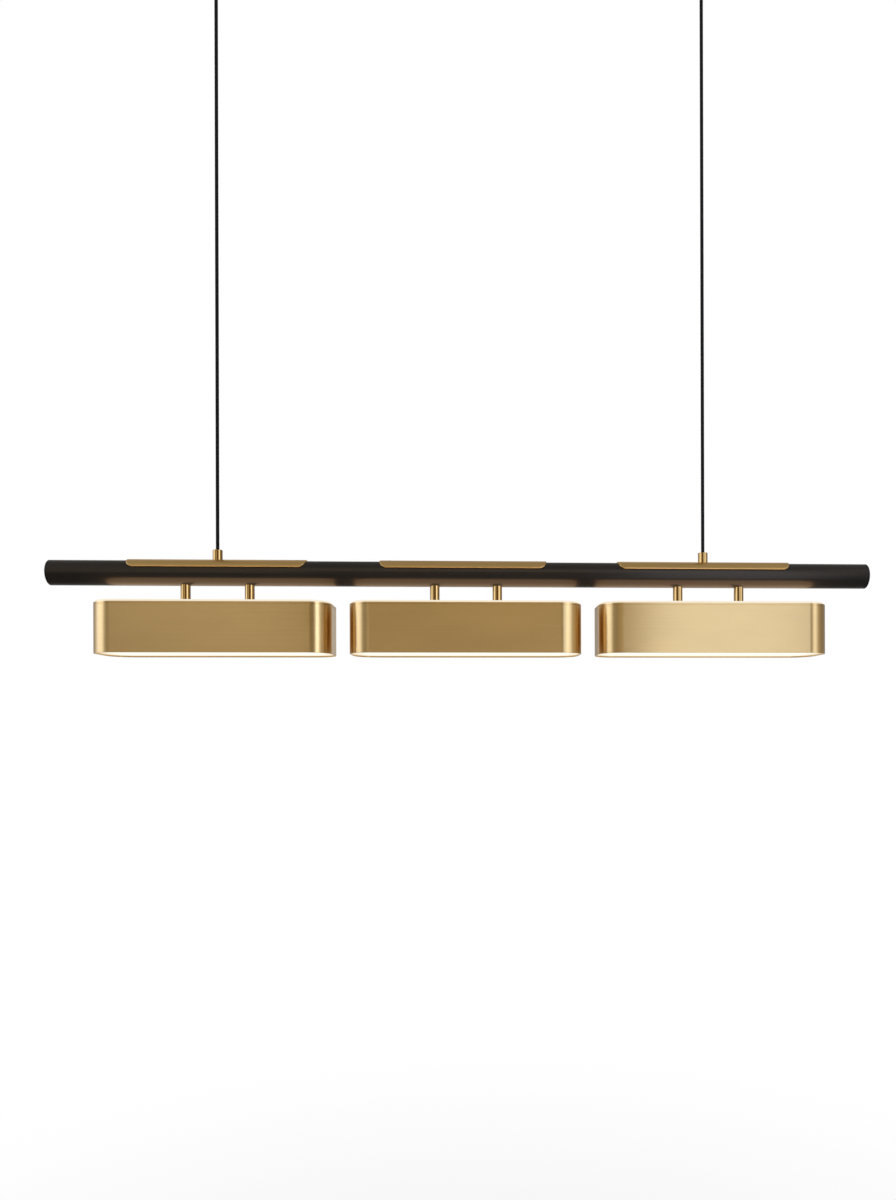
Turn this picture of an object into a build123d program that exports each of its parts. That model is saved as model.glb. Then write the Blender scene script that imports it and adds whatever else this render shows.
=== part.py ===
from build123d import *
from math import cos, pi, radians, sqrt, tan
import os

# Linear island pendant. Millimetres, +Z up. The ceiling is the plane z = 0, and the origin lies
# midway between the two ceiling fittings. X runs along the bar and -Y faces the viewer.

# Cords
cord_spacing = 714.0
cord_length = 860.0
cord_diameter = 5.0
cord_clearance = 0.3
mouth_half_angle = 14.0
conductor_bore = 4.0
cord_end_headroom = 1.0

# Ceiling fittings
cup_diameter = 90.0
cup_height = 28.0
cup_wall = 1.5
cup_edge_round = 3.0
strap_width = 16.0
strap_thickness = 2.0
strap_tab_height = 16.0
strap_clearance = 0.3
ceiling_screw_spacing = 50.0
ceiling_screw_hole = 5.0
cup_screw_diameter = 4.0
cup_screw_head = 7.0
cup_screw_head_height = 2.2
cup_screw_length = 8.0
cup_screw_depth = 10.0
terminal_length = 30.0
terminal_width = 15.0
terminal_height = 13.0
terminal_corner = 2.0
grip_diameter = 20.0
grip_height = 18.0
grip_shank_diameter = 12.0
grip_nut_flats = 18.0
grip_nut_height = 4.0
grip_thread_spare = 2.0
grip_bore = 6.0
ball_radius = 7.0
ball_clearance = 0.3
ball_depth_in_grip = 3.0

# Bar
bar_shift = 4.0
tube_length = 1200.0
tube_diameter = 36.5
tube_wall = 2.0
end_cap_thickness = 3.0
end_cap_round = 1.3
end_cap_spigot = 10.0
end_cap_clearance = 0.1
access_slot_length = 40.0
access_slot_width = 17.0
access_slot_corner = 5.0

# Saddle plates over the access slots
saddle_pitch = 356.0
outer_saddle_length = 256.0
centre_saddle_length = 244.0
saddle_thickness = 1.6
saddle_skirt_height = 7.0
saddle_corner_radius = 11.0
saddle_edge_round = 0.5
saddle_screw_inset = 14.0
saddle_screw_diameter = 3.0
saddle_screw_head = 5.6
saddle_screw_length = 6.0

# Cable glands
gland_diameter = 14.0
gland_height = 14.0
gland_edge_round = 0.5
gland_mouth_depth = 4.0
gland_shank_diameter = 10.0
gland_nut_flats = 14.0
gland_nut_height = 4.0

# Shades
shade_pitch = 361.0
shade_length = 336.0
shade_depth = 100.0
shade_height = 72.0
shade_corner_radius = 33.0
shade_wall = 2.0
shade_edge_round = 0.4
shade_gap = 28.5
box_clearance = 0.2
box_wall = 2.0
box_plate_thickness = 4.0
diffuser_clearance = 0.3
upper_diffuser_thickness = 5.0
upper_diffuser_proud = 3.0
upper_diffuser_round = 1.5
lower_diffuser_thickness = 3.0
lower_diffuser_recess = 2.0
lower_diffuser_round = 0.5
shade_screw_spacing = 240.0
shade_screw_height = 10.0
shade_screw_diameter = 3.0
shade_screw_head = 6.0
shade_screw_head_height = 1.8
shade_screw_length = 9.0
boss_diameter = 8.0
boss_length = 5.0

# Stems
stem_spacing = 92.0
stem_diameter = 14.0
stem_bore = 6.0
spigot_diameter = 10.0
stem_nut_flats = 16.0
stem_nut_height = 5.0
spigot_spare = 1.5

# Light boards and electrics
board_thickness = 1.6
board_margin = 4.0
board_hole_clearance = 1.5
chip_size = 3.0
chip_height = 0.8
chip_columns = 14
chip_pitch = 21.0
chip_row_spacing = 50.0
driver_length = 160.0
driver_width = 22.0
driver_height = 14.0
driver_offset = -180.0
wiring_block_length = 36.0
wiring_block_width = 16.0
wiring_block_height = 12.0
wiring_block_offset = 180.0

# Fits of more than one piece
hole_clearance = 0.2
seat_clearance = 0.05
nut_sides = 6

# Radii
cord_radius = cord_diameter / 2
cup_radius = cup_diameter / 2
grip_radius = grip_diameter / 2
tube_radius = tube_diameter / 2
tube_bore_radius = tube_radius - tube_wall
gland_radius = gland_diameter / 2
gland_shank_radius = gland_shank_diameter / 2
stem_radius = stem_diameter / 2
spigot_radius = spigot_diameter / 2
saddle_inner_radius = tube_radius + seat_clearance
saddle_outer_radius = saddle_inner_radius + saddle_thickness
cord_hole_radius = cord_radius + cord_clearance

# Heights above the ceiling, all of them negative
grip_top = -cup_height
grip_bottom = grip_top - grip_height
swing_height = grip_bottom + ball_depth_in_grip
gland_pivot_height = swing_height - cord_length
gland_top = gland_pivot_height + gland_mouth_depth
tube_height = gland_top - gland_height - saddle_outer_radius
shade_top = tube_height - tube_radius - shade_gap
shade_bottom = shade_top - shade_height
box_top = shade_top + upper_diffuser_proud - upper_diffuser_thickness
box_bottom = shade_bottom + lower_diffuser_recess + lower_diffuser_thickness
plate_bottom = (box_top + box_bottom - box_plate_thickness) / 2
plate_top = plate_bottom + box_plate_thickness
shade_screw_level = plate_top + shade_screw_height
stem_nut_top = tube_height - tube_bore_radius + stem_nut_height
spigot_top = stem_nut_top + spigot_spare
spigot_bottom = plate_bottom - stem_nut_height - spigot_spare
gland_nut_bottom = tube_height + tube_bore_radius - gland_nut_height
gland_shank_bottom = gland_nut_bottom - spigot_spare

# Places along the bar
fitting_places = {"left": -cord_spacing / 2, "right": cord_spacing / 2}
shade_places = {
    "left": bar_shift - shade_pitch,
    "centre": bar_shift,
    "right": bar_shift + shade_pitch,
}
saddle_places = {"left": -saddle_pitch, "centre": 0.0, "right": saddle_pitch}
saddle_lengths = {
    "left": outer_saddle_length,
    "centre": centre_saddle_length,
    "right": outer_saddle_length,
}
tube_start = bar_shift - tube_length / 2 + end_cap_thickness
tube_end = bar_shift + tube_length / 2 - end_cap_thickness
stem_places = []
for shade_x in shade_places.values():
    stem_places += [shade_x - stem_spacing / 2, shade_x + stem_spacing / 2]


def level(height):
    """A plane that faces up, at this height."""
    return Plane.XY.offset(height)


def across(x, facing=1):
    """A plane square to the bar, centred on the tube and facing along X."""
    return Plane(origin=(x, 0, tube_height), x_dir=(0, 1, 0), z_dir=(facing, 0, 0))


def front_view(x, y, height):
    """A plane that faces the viewer."""
    return Plane(origin=(x, y, height), x_dir=(1, 0, 0), z_dir=(0, -1, 0))


def keep(piece, node):
    """Name a finished piece and write it."""
    piece.part.label = node
    export_step(piece.part, f"parts/{node}.step")


def mouth_radius(depth):
    """Radius of a bell mouth at this distance from the cord's pivot."""
    return cord_hole_radius + depth * tan(radians(mouth_half_angle))


os.makedirs("parts", exist_ok=True)

# Ceiling fittings ---------------------------------------------------------------------------

# The strap's tabs stand just inside the round wall of the cup.
tab_reach = sqrt((cup_radius - cup_wall - strap_clearance) ** 2 - (strap_width / 2) ** 2)
tab_middle = tab_reach - strap_thickness / 2
cup_screw_level = -cup_screw_depth
ball_cavity_radius = ball_radius + ball_clearance
grip_nut_top = grip_top + cup_wall + grip_nut_height

for side, x in fitting_places.items():
    with BuildPart() as strap:
        with BuildSketch(level(0)):
            with Locations((x, 0)):
                Rectangle(strap_width, 2 * tab_reach)
        extrude(amount=-strap_thickness)
        with BuildSketch(level(-strap_thickness)):
            with Locations((x, tab_middle), (x, -tab_middle)):
                Rectangle(strap_width, strap_thickness)
        extrude(amount=strap_thickness - strap_tab_height)
        with BuildSketch(level(0)):
            with Locations((x, 0)):
                with GridLocations(0, ceiling_screw_spacing, 1, 2):
                    Circle(ceiling_screw_hole / 2)
        extrude(amount=-strap_thickness, mode=Mode.SUBTRACT)
        with BuildSketch(front_view(x, cup_radius, cup_screw_level)):
            Circle(cup_screw_diameter / 2)
        extrude(amount=cup_diameter, mode=Mode.SUBTRACT)
    keep(strap, f"ceiling_strap_{side}")

    with BuildPart() as cup:
        with BuildSketch(level(-cup_height)):
            with Locations((x, 0)):
                Circle(cup_radius)
        extrude(amount=cup_height)
        fillet(cup.edges().group_by(Axis.Z)[0], cup_edge_round)
        offset(amount=-cup_wall, openings=cup.faces().sort_by(Axis.Z)[-1])
        with BuildSketch(level(-cup_height)):
            with Locations((x, 0)):
                Circle(grip_shank_diameter / 2 + hole_clearance)
        extrude(amount=cup_wall, mode=Mode.SUBTRACT)
        with BuildSketch(front_view(x, cup_radius, cup_screw_level)):
            Circle(cup_screw_diameter / 2 + hole_clearance)
        extrude(amount=cup_diameter, mode=Mode.SUBTRACT)
    keep(cup, f"ceiling_cup_{side}")

    with BuildPart() as cup_screws:
        for facing in (1, -1):
            head_seat = Plane(origin=(x, -facing * cup_radius, cup_screw_level), z_dir=(0, -facing, 0))
            with BuildSketch(head_seat):
                Circle(cup_screw_head / 2)
            extrude(amount=cup_screw_head_height)
            with BuildSketch(head_seat):
                Circle(cup_screw_diameter / 2)
            extrude(amount=-cup_screw_length)
    keep(cup_screws, f"ceiling_cup_screws_{side}")

    with BuildPart() as terminal:
        with BuildSketch(level(-strap_thickness)):
            with Locations((x, 0)):
                RectangleRounded(terminal_width, terminal_length, terminal_corner)
        extrude(amount=-terminal_height)
    keep(terminal, f"ceiling_terminal_block_{side}")

    with BuildPart() as grip:
        with BuildSketch(level(grip_bottom)):
            with Locations((x, 0)):
                Circle(grip_radius)
        extrude(amount=grip_height)
        with BuildSketch(level(grip_top)):
            with Locations((x, 0)):
                Circle(grip_shank_diameter / 2)
        extrude(amount=cup_wall + grip_nut_height + grip_thread_spare)
        with Locations((x, 0, swing_height)):
            Sphere(ball_cavity_radius, mode=Mode.SUBTRACT)
        with BuildSketch(level(swing_height)):
            with Locations((x, 0)):
                Circle(grip_bore / 2)
        extrude(amount=cup_height + grip_height, mode=Mode.SUBTRACT)
    keep(grip, f"cord_grip_{side}")

    with BuildPart() as grip_nut:
        with BuildSketch(level(grip_top + cup_wall)):
            with Locations((x, 0)):
                RegularPolygon(grip_nut_flats / 2, nut_sides, major_radius=False)
                Circle(grip_shank_diameter / 2 + seat_clearance, mode=Mode.SUBTRACT)
        extrude(amount=grip_nut_height)
    keep(grip_nut, f"cord_grip_nut_{side}")

    with BuildPart() as ball:
        with Locations((x, 0, swing_height)):
            Sphere(ball_radius)
        with Locations((x, 0, swing_height - ball_radius / 2)):
            Cone(mouth_radius(ball_radius), mouth_radius(0), ball_radius, mode=Mode.SUBTRACT)
        with BuildSketch(level(swing_height)):
            with Locations((x, 0)):
                Circle(cord_hole_radius)
        extrude(amount=cord_end_headroom, mode=Mode.SUBTRACT)
        with BuildSketch(level(swing_height)):
            with Locations((x, 0)):
                Circle(conductor_bore / 2)
        extrude(amount=ball_radius, mode=Mode.SUBTRACT)
    keep(ball, f"swivel_ball_{side}")

    with BuildPart() as cord:
        with BuildSketch(level(gland_pivot_height)):
            with Locations((x, 0)):
                Circle(cord_radius)
        extrude(amount=cord_length)
    keep(cord, f"cord_{side}")

# Bar ----------------------------------------------------------------------------------------

with BuildPart() as tube:
    with BuildSketch(across(tube_start)):
        Circle(tube_radius)
        Circle(tube_bore_radius, mode=Mode.SUBTRACT)
    extrude(amount=tube_end - tube_start)
    with BuildSketch(level(tube_height)):
        with Locations([(x, 0) for x in stem_places]):
            Circle(spigot_radius + hole_clearance)
    extrude(amount=-tube_diameter, mode=Mode.SUBTRACT)
    with BuildSketch(level(tube_height)):
        with Locations([(x, 0) for x in stem_places]):
            RectangleRounded(access_slot_length, access_slot_width, access_slot_corner)
        with Locations([(x, 0) for x in fitting_places.values()]):
            Circle(gland_shank_radius + hole_clearance)
        for side, x in saddle_places.items():
            with Locations((x, 0)):
                with GridLocations(saddle_lengths[side] - 2 * saddle_screw_inset, 0, 2, 1):
                    Circle(saddle_screw_diameter / 2)
    extrude(amount=tube_diameter, mode=Mode.SUBTRACT)
keep(tube, "main_tube")

for side, x, facing in (("left", tube_start, -1), ("right", tube_end, 1)):
    with BuildPart() as end_cap:
        with BuildSketch(across(x, facing)):
            Circle(tube_radius)
        extrude(amount=end_cap_thickness)
        fillet(end_cap.edges().sort_by(Axis.X)[0 if facing < 0 else -1], end_cap_round)
        with BuildSketch(across(x, facing)):
            Circle(tube_bore_radius - end_cap_clearance)
        extrude(amount=-end_cap_spigot)
    keep(end_cap, f"end_cap_{side}")

countersink_depth = (saddle_screw_head - saddle_screw_diameter) / 2
saddle_hole_radius = saddle_screw_diameter / 2 + hole_clearance
for side, x in saddle_places.items():
    length = saddle_lengths[side]
    with BuildPart() as saddle:
        with BuildSketch(across(x - length / 2)):
            Circle(saddle_outer_radius)
            Circle(saddle_inner_radius, mode=Mode.SUBTRACT)
        extrude(amount=length)
        skirt_middle = tube_height + saddle_skirt_height + saddle_outer_radius
        with BuildSketch(front_view(x, saddle_outer_radius, skirt_middle)):
            RectangleRounded(length, 2 * saddle_outer_radius, saddle_corner_radius)
        extrude(amount=2 * saddle_outer_radius, mode=Mode.INTERSECT)
        outer_face = saddle.faces().filter_by(GeomType.CYLINDER).sort_by(SortBy.AREA)[-1]
        fillet(outer_face.edges(), saddle_edge_round)
        with Locations((x, 0, tube_height + saddle_outer_radius)):
            with GridLocations(length - 2 * saddle_screw_inset, 0, 2, 1):
                CounterSinkHole(saddle_hole_radius, saddle_screw_head / 2, 2 * saddle_thickness)
        if side in fitting_places:
            with BuildSketch(level(tube_height)):
                with Locations((fitting_places[side], 0)):
                    Circle(gland_shank_radius + hole_clearance)
            extrude(amount=tube_diameter, mode=Mode.SUBTRACT)
    keep(saddle, f"saddle_plate_{side}")

with BuildPart() as saddle_screws:
    for side, x in saddle_places.items():
        screw_reach = saddle_lengths[side] / 2 - saddle_screw_inset
        for screw_x in (x - screw_reach, x + screw_reach):
            with BuildSketch(level(tube_height + saddle_outer_radius - saddle_screw_length)):
                with Locations((screw_x, 0)):
                    Circle(saddle_screw_diameter / 2)
            extrude(amount=saddle_screw_length)
            with Locations((screw_x, 0, tube_height + saddle_outer_radius - countersink_depth / 2)):
                Cone(saddle_screw_diameter / 2, saddle_screw_head / 2, countersink_depth)
keep(saddle_screws, "saddle_plate_screws")

for side, x in fitting_places.items():
    with BuildPart() as gland:
        with BuildSketch(level(tube_height)):
            with Locations((x, 0)):
                Circle(gland_radius)
        extrude(amount=gland_top - tube_height)
        fillet(gland.edges().sort_by(Axis.Z)[-1], gland_edge_round)
        with BuildSketch(across(x - gland_diameter)):
            Circle(saddle_outer_radius + seat_clearance)
        extrude(amount=2 * gland_diameter, mode=Mode.SUBTRACT)
        with BuildSketch(level(gland_shank_bottom)):
            with Locations((x, 0)):
                Circle(gland_shank_radius)
        extrude(amount=gland_pivot_height - gland_shank_bottom)
        with BuildSketch(level(gland_shank_bottom)):
            with Locations((x, 0)):
                Circle(conductor_bore / 2)
        extrude(amount=gland_top - gland_shank_bottom, mode=Mode.SUBTRACT)
        with BuildSketch(level(gland_pivot_height - cord_end_headroom)):
            with Locations((x, 0)):
                Circle(cord_hole_radius)
        extrude(amount=cord_end_headroom, mode=Mode.SUBTRACT)
        with Locations((x, 0, gland_pivot_height + gland_mouth_depth / 2)):
            Cone(mouth_radius(0), mouth_radius(gland_mouth_depth), gland_mouth_depth, mode=Mode.SUBTRACT)
    keep(gland, f"cable_gland_{side}")

    with BuildPart() as gland_nut:
        with BuildSketch(level(gland_nut_bottom)):
            with Locations((x, 0)):
                RegularPolygon(gland_nut_flats / 2, nut_sides, major_radius=False)
                Circle(gland_shank_radius + seat_clearance, mode=Mode.SUBTRACT)
        extrude(amount=gland_nut_height)
        with BuildSketch(across(x - gland_diameter)):
            Circle(tube_bore_radius - seat_clearance)
        extrude(amount=2 * gland_diameter, mode=Mode.INTERSECT)
    keep(gland_nut, f"cable_gland_nut_{side}")


def seat_in_tube(width):
    """Height at which a flat box of this width rests in the round bore."""
    return tube_height - sqrt((tube_bore_radius - seat_clearance) ** 2 - (width / 2) ** 2)


with BuildPart() as driver:
    with BuildSketch(level(seat_in_tube(driver_width))):
        with Locations((bar_shift + driver_offset, 0)):
            Rectangle(driver_length, driver_width)
    extrude(amount=driver_height)
keep(driver, "led_driver")

with BuildPart() as wiring_block:
    with BuildSketch(level(seat_in_tube(wiring_block_width))):
        with Locations((bar_shift + wiring_block_offset, 0)):
            Rectangle(wiring_block_length, wiring_block_width)
    extrude(amount=wiring_block_height)
keep(wiring_block, "wiring_block")

# Stems --------------------------------------------------------------------------------------

stem_names = []
for side in shade_places:
    stem_names += [f"stem_{side}_a", f"stem_{side}_b"]
for stem_name, x in zip(stem_names, stem_places):
    with BuildPart() as stem:
        with BuildSketch(level(plate_top)):
            with Locations((x, 0)):
                Circle(stem_radius)
        extrude(amount=tube_height - plate_top)
        with BuildSketch(across(x - stem_diameter)):
            Circle(tube_radius + seat_clearance)
        extrude(amount=2 * stem_diameter, mode=Mode.SUBTRACT)
        with BuildSketch(level(spigot_bottom)):
            with Locations((x, 0)):
                Circle(spigot_radius)
        extrude(amount=spigot_top - spigot_bottom)
        with BuildSketch(level(spigot_bottom)):
            with Locations((x, 0)):
                Circle(stem_bore / 2)
        extrude(amount=spigot_top - spigot_bottom, mode=Mode.SUBTRACT)
    keep(stem, stem_name)

with BuildPart() as stem_top_nuts:
    with BuildSketch(level(tube_height - tube_bore_radius)):
        with Locations([(x, 0) for x in stem_places]):
            RegularPolygon(stem_nut_flats / 2, nut_sides, major_radius=False)
            Circle(spigot_radius + seat_clearance, mode=Mode.SUBTRACT)
    extrude(amount=stem_nut_height)
    with BuildSketch(across(tube_start)):
        Circle(tube_bore_radius - seat_clearance)
    extrude(amount=tube_end - tube_start, mode=Mode.INTERSECT)
keep(stem_top_nuts, "stem_top_nuts")

with BuildPart() as stem_foot_nuts:
    with BuildSketch(level(plate_bottom)):
        with Locations([(x, 0) for x in stem_places]):
            RegularPolygon(stem_nut_flats / 2, nut_sides, major_radius=False)
            Circle(spigot_radius + seat_clearance, mode=Mode.SUBTRACT)
    extrude(amount=-stem_nut_height)
keep(stem_foot_nuts, "stem_foot_nuts")

# Shades -------------------------------------------------------------------------------------


def shade_outline(inset):
    """The shade's rounded outline, drawn in by this much."""
    length = shade_length - 2 * inset
    return RectangleRounded(length, shade_depth - 2 * inset, shade_corner_radius - inset)


box_inset = shade_wall + box_clearance
diffuser_inset = shade_wall + diffuser_clearance
board_inset = box_inset + box_wall + board_margin
rear_wall = shade_depth / 2
stem_offsets = [(-stem_spacing / 2, 0), (stem_spacing / 2, 0)]
nut_corner_radius = stem_nut_flats / 2 / cos(pi / nut_sides)

for side, x in shade_places.items():
    screw_places = [x - shade_screw_spacing / 2, x + shade_screw_spacing / 2]

    with BuildPart() as shade:
        with BuildSketch(level(shade_bottom)):
            with Locations((x, 0)):
                shade_outline(0)
        extrude(amount=shade_height)
        rims = shade.edges().group_by(Axis.Z)
        fillet(rims[0] + rims[-1], shade_edge_round)
        with BuildSketch(level(shade_bottom)):
            with Locations((x, 0)):
                shade_outline(shade_wall)
        extrude(amount=shade_height, mode=Mode.SUBTRACT)
        for screw_x in screw_places:
            with BuildSketch(front_view(screw_x, rear_wall, shade_screw_level)):
                Circle(shade_screw_diameter / 2 + hole_clearance)
            extrude(amount=2 * shade_wall, mode=Mode.SUBTRACT)
    keep(shade, f"shade_{side}")

    with BuildPart() as light_box:
        with BuildSketch(level(box_bottom)):
            with Locations((x, 0)):
                shade_outline(box_inset)
        extrude(amount=box_top - box_bottom)
        for pocket_start, pocket_end in ((box_bottom, plate_bottom), (plate_top, box_top)):
            with BuildSketch(level(pocket_start)):
                with Locations((x, 0)):
                    shade_outline(box_inset + box_wall)
            extrude(amount=pocket_end - pocket_start, mode=Mode.SUBTRACT)
        with BuildSketch(level(plate_bottom)):
            with Locations((x, 0)):
                with Locations(stem_offsets):
                    Circle(spigot_radius + hole_clearance)
        extrude(amount=box_plate_thickness, mode=Mode.SUBTRACT)
        for screw_x in screw_places:
            with BuildSketch(front_view(screw_x, rear_wall - box_inset - box_wall, shade_screw_level)):
                Circle(boss_diameter / 2)
            extrude(amount=boss_length)
            with BuildSketch(front_view(screw_x, rear_wall, shade_screw_level)):
                Circle(shade_screw_diameter / 2 + seat_clearance)
            extrude(amount=box_inset + box_wall + boss_length, mode=Mode.SUBTRACT)
    keep(light_box, f"light_box_{side}")

    with BuildPart() as upper_diffuser:
        with BuildSketch(level(box_top)):
            with Locations((x, 0)):
                shade_outline(diffuser_inset)
        extrude(amount=upper_diffuser_thickness)
        fillet(upper_diffuser.edges().group_by(Axis.Z)[-1], upper_diffuser_round)
        with BuildSketch(level(box_top)):
            with Locations((x, 0)):
                with Locations(stem_offsets):
                    Circle(stem_radius + hole_clearance)
        extrude(amount=upper_diffuser_thickness, mode=Mode.SUBTRACT)
    keep(upper_diffuser, f"upper_diffuser_{side}")

    with BuildPart() as lower_diffuser:
        with BuildSketch(level(box_bottom)):
            with Locations((x, 0)):
                shade_outline(diffuser_inset)
        extrude(amount=-lower_diffuser_thickness)
        fillet(lower_diffuser.edges().group_by(Axis.Z)[0], lower_diffuser_round)
    keep(lower_diffuser, f"lower_diffuser_{side}")

    board_sides = (("upper", plate_top, 1, stem_radius), ("lower", plate_bottom, -1, nut_corner_radius))
    for board_side, board_seat, outward, hole_around in board_sides:
        with BuildPart() as light_board:
            with BuildSketch(level(board_seat)):
                with Locations((x, 0)):
                    shade_outline(board_inset)
                    with Locations(stem_offsets):
                        Circle(hole_around + board_hole_clearance, mode=Mode.SUBTRACT)
            extrude(amount=outward * board_thickness)
            with BuildSketch(level(board_seat + outward * board_thickness)):
                with Locations((x, 0)):
                    with GridLocations(chip_pitch, chip_row_spacing, chip_columns, 2):
                        Rectangle(chip_size, chip_size)
            extrude(amount=outward * chip_height)
        keep(light_board, f"{board_side}_light_board_{side}")

with BuildPart() as shade_screws:
    for x in shade_places.values():
        for screw_x in (x - shade_screw_spacing / 2, x + shade_screw_spacing / 2):
            head_seat = Plane(origin=(screw_x, rear_wall, shade_screw_level), z_dir=(0, 1, 0))
            with BuildSketch(head_seat):
                Circle(shade_screw_head / 2)
            extrude(amount=shade_screw_head_height)
            with BuildSketch(head_seat):
                Circle(shade_screw_diameter / 2)
            extrude(amount=-shade_screw_length)
keep(shade_screws, "shade_screws")
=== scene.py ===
"""A linear island pendant over a plain pale floor, dressed for a studio picture."""

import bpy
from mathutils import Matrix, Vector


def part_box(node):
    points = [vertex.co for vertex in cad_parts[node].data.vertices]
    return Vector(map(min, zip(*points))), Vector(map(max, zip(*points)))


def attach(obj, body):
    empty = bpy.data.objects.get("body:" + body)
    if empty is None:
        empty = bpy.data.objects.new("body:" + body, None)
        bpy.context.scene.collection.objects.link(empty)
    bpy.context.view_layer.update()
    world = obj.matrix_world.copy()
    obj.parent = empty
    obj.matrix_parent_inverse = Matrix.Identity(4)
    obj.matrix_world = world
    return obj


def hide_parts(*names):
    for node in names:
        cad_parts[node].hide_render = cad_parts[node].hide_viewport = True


bl_info = {
    "name": "Linear Island Pendant",
    "version": (1, 0, 0),
    "blender": (4, 5, 0),
    "location": "3D View > Sidebar > Pendant",
    "description": "Dresses the linear island pendant and sets up its studio",
    "category": "Object",
}

from math import acos, asin, cos, pi, radians, sin, tau

import bmesh
import bpy
from bpy.props import FloatProperty, FloatVectorProperty, PointerProperty
from mathutils import Matrix, Vector

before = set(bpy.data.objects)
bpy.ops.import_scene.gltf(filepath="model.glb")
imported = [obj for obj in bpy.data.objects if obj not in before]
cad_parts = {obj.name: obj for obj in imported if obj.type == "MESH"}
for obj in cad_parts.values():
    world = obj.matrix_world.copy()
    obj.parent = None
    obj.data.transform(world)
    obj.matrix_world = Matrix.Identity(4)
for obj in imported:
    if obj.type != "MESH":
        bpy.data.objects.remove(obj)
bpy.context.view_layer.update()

SIDES = ("left", "centre", "right")
ENDS = ("left", "right")
STEM_LETTERS = "ab"
ROUND_STEPS = 64
CORNER_SEGMENTS = 20
SCREW_SEGMENTS = 32
HEXAGON_SIDES = 6
SHARP_ANGLE = radians(28)
MERGE_DISTANCE = 1e-6
WHITE = (1.0, 1.0, 1.0)


# Sizes and colours a user may change -------------------------------------------------


class PendantSizes(bpy.types.PropertyGroup):
    cord_diameter: FloatProperty(
        name="Cord diameter",
        description="Width over the cord's jacket",
        default=0.005,
        unit="LENGTH",
    )
    cord_length: FloatProperty(
        name="Cord length",
        description="From the middle of the swivel ball to the mouth of the gland",
        default=0.86,
        unit="LENGTH",
    )
    shade_corner: FloatProperty(
        name="Shade corner",
        description="Outer radius of the shade's rounded ends",
        default=0.033,
        unit="LENGTH",
    )
    shade_wall: FloatProperty(
        name="Shade wall",
        description="Thickness of the brass ring",
        default=0.002,
        unit="LENGTH",
    )
    rim_height: FloatProperty(
        name="Rim height",
        description="Height of the plain rim above the line round the shade",
        default=0.0026,
        unit="LENGTH",
    )


class PendantColours(bpy.types.PropertyGroup):
    brass: FloatVectorProperty(
        name="Brass",
        description="Colour of the lacquered brass",
        default=(0.8, 0.515, 0.19),
        size=3,
        min=0.0,
        max=1.0,
        subtype="COLOR",
    )
    black: FloatVectorProperty(
        name="Satin black",
        description="Colour of the powder coat",
        default=(0.0135, 0.0125, 0.012),
        size=3,
        min=0.0,
        max=1.0,
        subtype="COLOR",
    )
    glow: FloatVectorProperty(
        name="Glow",
        description="Colour of the lit diffusers",
        default=(1.0, 0.95, 0.82),
        size=3,
        min=0.0,
        max=1.0,
        subtype="COLOR",
    )
    lamp: FloatVectorProperty(
        name="Lamp light",
        description="Colour of the light that the shades throw on the tube",
        default=(1.0, 0.6, 0.3),
        size=3,
        min=0.0,
        max=1.0,
        subtype="COLOR",
    )


class StudioSettings(bpy.types.PropertyGroup):
    floor_height: FloatProperty(
        name="Floor height",
        description="Height of the floor under the ceiling",
        default=-2.4,
        unit="LENGTH",
    )
    room_light: FloatProperty(
        name="Room light",
        description="Strength of the soft light from all round",
        default=1.0,
        min=0.0,
    )
    lamp_power: FloatProperty(
        name="Lamp power",
        description="Power of the light over each shade, in watts",
        default=0.14,
        min=0.0,
    )


# Shader nodes -------------------------------------------------------------------------


class Amount:
    """A number in a shader, worked out with ordinary arithmetic."""

    def __init__(self, recipe, socket):
        self.recipe = recipe
        self.socket = socket

    def __add__(self, other):
        return self.recipe.maths("ADD", self, other)

    def __sub__(self, other):
        return self.recipe.maths("SUBTRACT", self, other)

    def __rsub__(self, other):
        return self.recipe.maths("SUBTRACT", other, self)

    def __mul__(self, other):
        return self.recipe.maths("MULTIPLY", self, other)

    def __truediv__(self, other):
        return self.recipe.maths("DIVIDE", self, other)

    __radd__ = __add__
    __rmul__ = __mul__


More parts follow.
